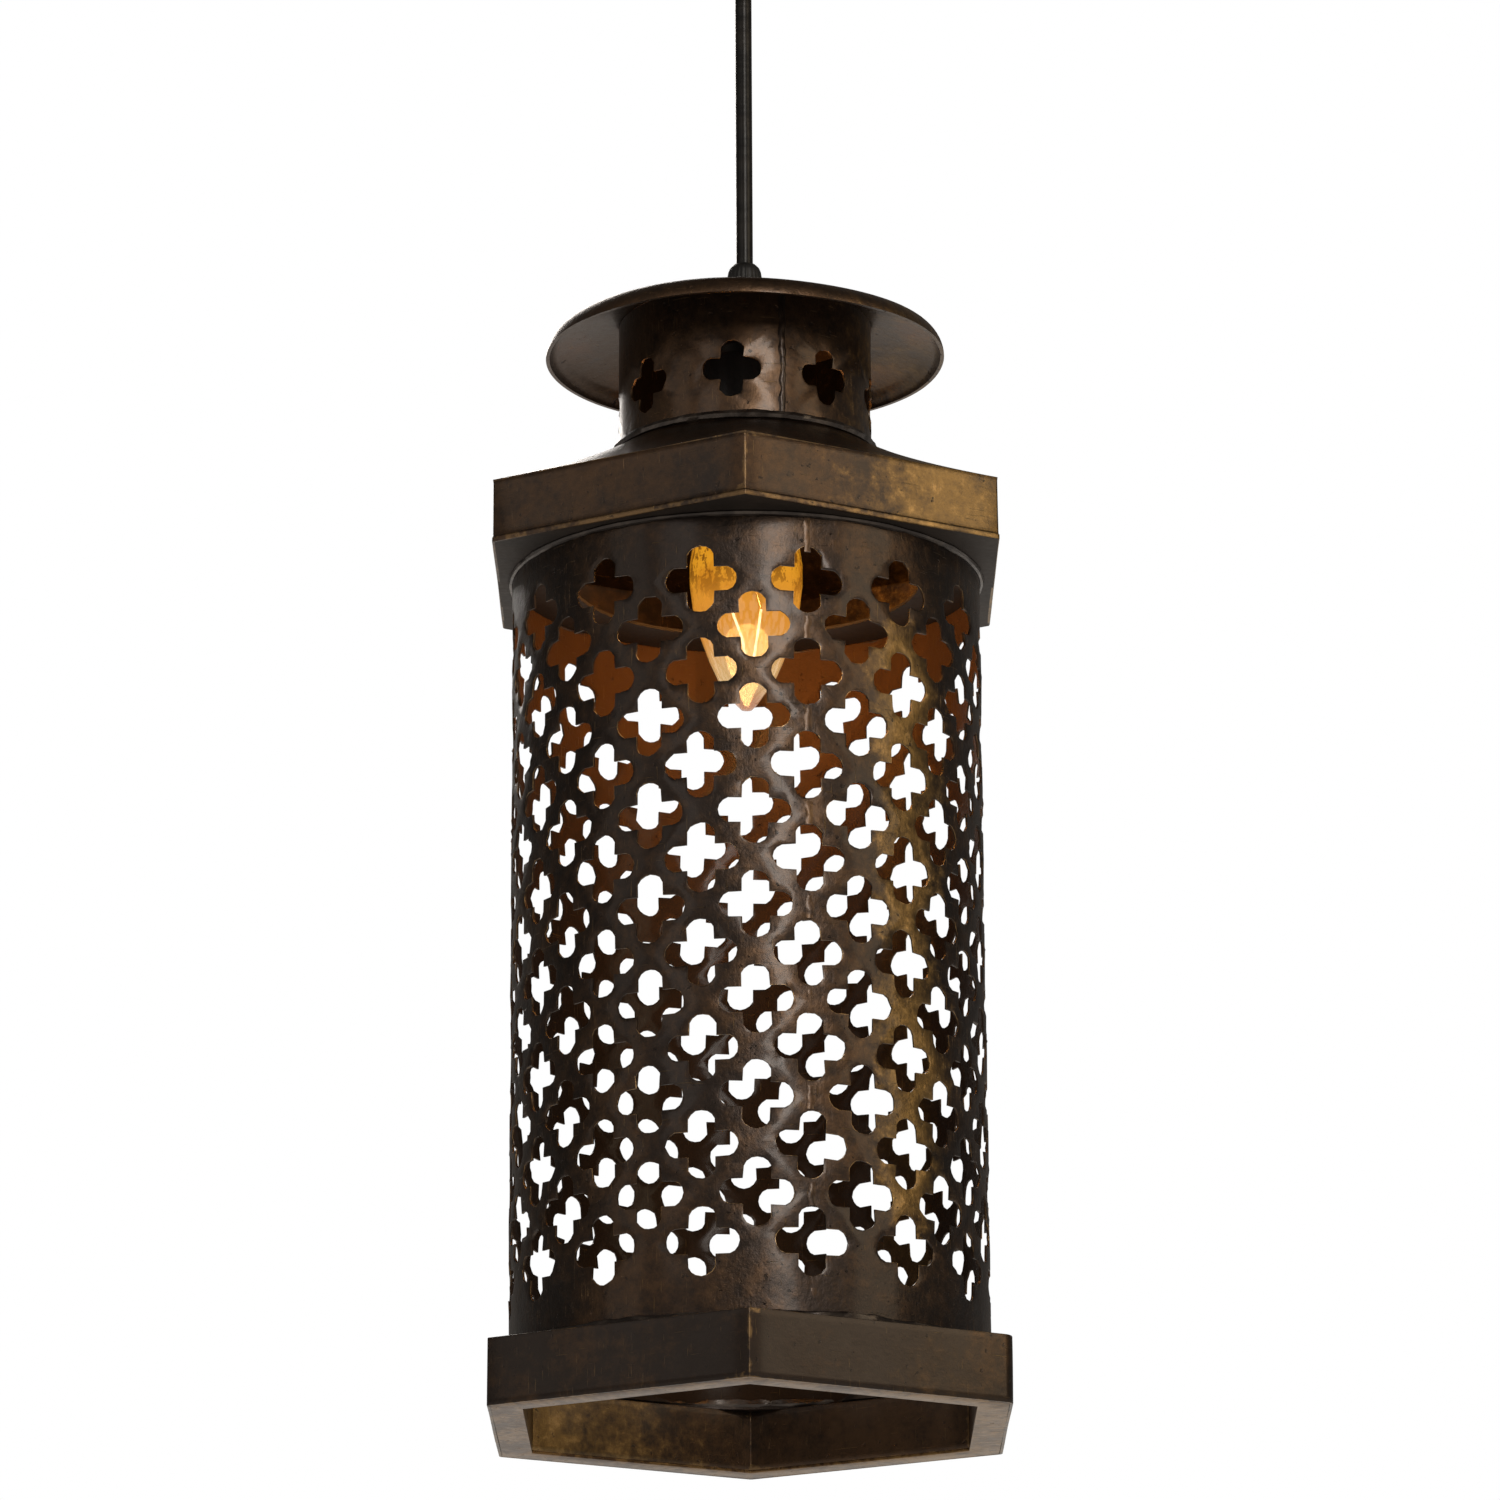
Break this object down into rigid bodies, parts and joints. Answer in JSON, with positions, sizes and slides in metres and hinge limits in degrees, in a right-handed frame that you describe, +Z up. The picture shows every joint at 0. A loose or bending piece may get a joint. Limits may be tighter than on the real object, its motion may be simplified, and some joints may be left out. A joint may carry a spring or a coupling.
{
  "type": "hanging lantern",
  "caption": "Pierced round metal shade between a hexagonal foot ring and a hexagonal cap, with a vented neck, a shallow dome, a candle lamp inside and a cord to a ceiling rose.",
  "frame": {"origin": "centre of the mounting strap's back face, where it lies on the ceiling", "axes": "+Z up into the ceiling; the lantern hangs down -Z; a corner of the hexagon faces -Y, the front; +X is to the right of the front"},
  "size_m": [0.16, 0.1848, 0.5304],
  "materials": {
    "dark_bronze": "blackened bronze patina, satin, rubbed at the edges",
    "solder": "darkened soft solder, hand run",
    "black_plastic": "moulded, ribbed",
    "cord_sheath": "smooth black PVC",
    "zinc_steel": "zinc plated",
    "green_steel": "green passivated",
    "raw_brass": "turned, bare",
    "porcelain": "glazed porcelain",
    "lead_sleeve": "brown insulated cores",
    "connector_plastic": "moulded",
    "amber_glass": "clear, lightly tinted amber",
    "stem_glass": "clear",
    "black_glass": "vitreous",
    "tin": "tinned dome",
    "support_wire": "drawn wire",
    "filament": "glowing"
  },
  "bodies": {
    "ceiling_rose": {"mounting_strap": "zinc_steel", "strap_studs": "zinc_steel", "ground_screw": "green_steel", "canopy": "dark_bronze", "cap_nuts": "dark_bronze", "canopy_nipple": "raw_brass", "canopy_locknut": "zinc_steel", "canopy_cord_grip": "black_plastic", "canopy_cord_tail": "cord_sheath", "canopy_leads": "lead_sleeve", "wire_connectors": "connector_plastic"},
    "cord": {"cord": "cord_sheath"},
    "grip": {"lantern_cord_grip": "black_plastic"},
    "lantern": {"dome_washer": "dark_bronze", "lantern_nipple": "raw_brass", "under_washer": "zinc_steel", "lantern_locknut": "zinc_steel", "lantern_cord_tail": "cord_sheath", "dome": "dark_bronze", "neck": "dark_bronze", "neck_solder": "solder", "roof": "dark_bronze", "cap_walls": "dark_bronze", "cap_floor": "dark_bronze", "corner_solder": "solder", "shade": "dark_bronze", "shade_seam": "solder", "shade_top_solder": "solder", "shade_foot_solder": "solder", "ring_top_plate": "dark_bronze", "ring_outer_band": "dark_bronze", "ring_inner_band": "dark_bronze", "ring_bottom_plate": "dark_bronze", "holder_cap": "black_plastic", "holder_shell": "black_plastic", "holder_core": "porcelain", "holder_thread": "raw_brass", "holder_contact": "raw_brass", "holder_terminals": "raw_brass", "holder_leads": "lead_sleeve"},
    "bulb": {"bulb_glass": "amber_glass", "bulb_cap": "raw_brass", "bulb_insulator": "black_glass", "bulb_contact": "tin", "bulb_stem": "stem_glass", "bulb_supports": "support_wire", "bulb_filament": "filament"}
  },
  "joints": [
    {"name": "cord_swing", "type": "hinge", "parent": "ceiling_rose", "child": "cord", "pos_m": [0, 0, -0.0375], "axis": [1, 0, 0], "range_deg": [-20, 20]},
    {"name": "lantern_swing", "type": "hinge", "parent": "cord", "child": "grip", "pos_m": [0, 0, -0.1465], "axis": [0, 1, 0], "range_deg": [-20, 20]},
    {"name": "lantern_twist", "type": "hinge", "parent": "grip", "child": "lantern", "pos_m": [0, 0, -0.1611], "axis": [0, 0, 1], "range_deg": [-90, 90], "stiffness_Nm_per_rad": 0.05},
    {"name": "bulb_unscrew", "type": "slide", "parent": "lantern", "child": "bulb", "axis": [0, 0, -1], "range_m": [0, 0.03]}
  ]
}
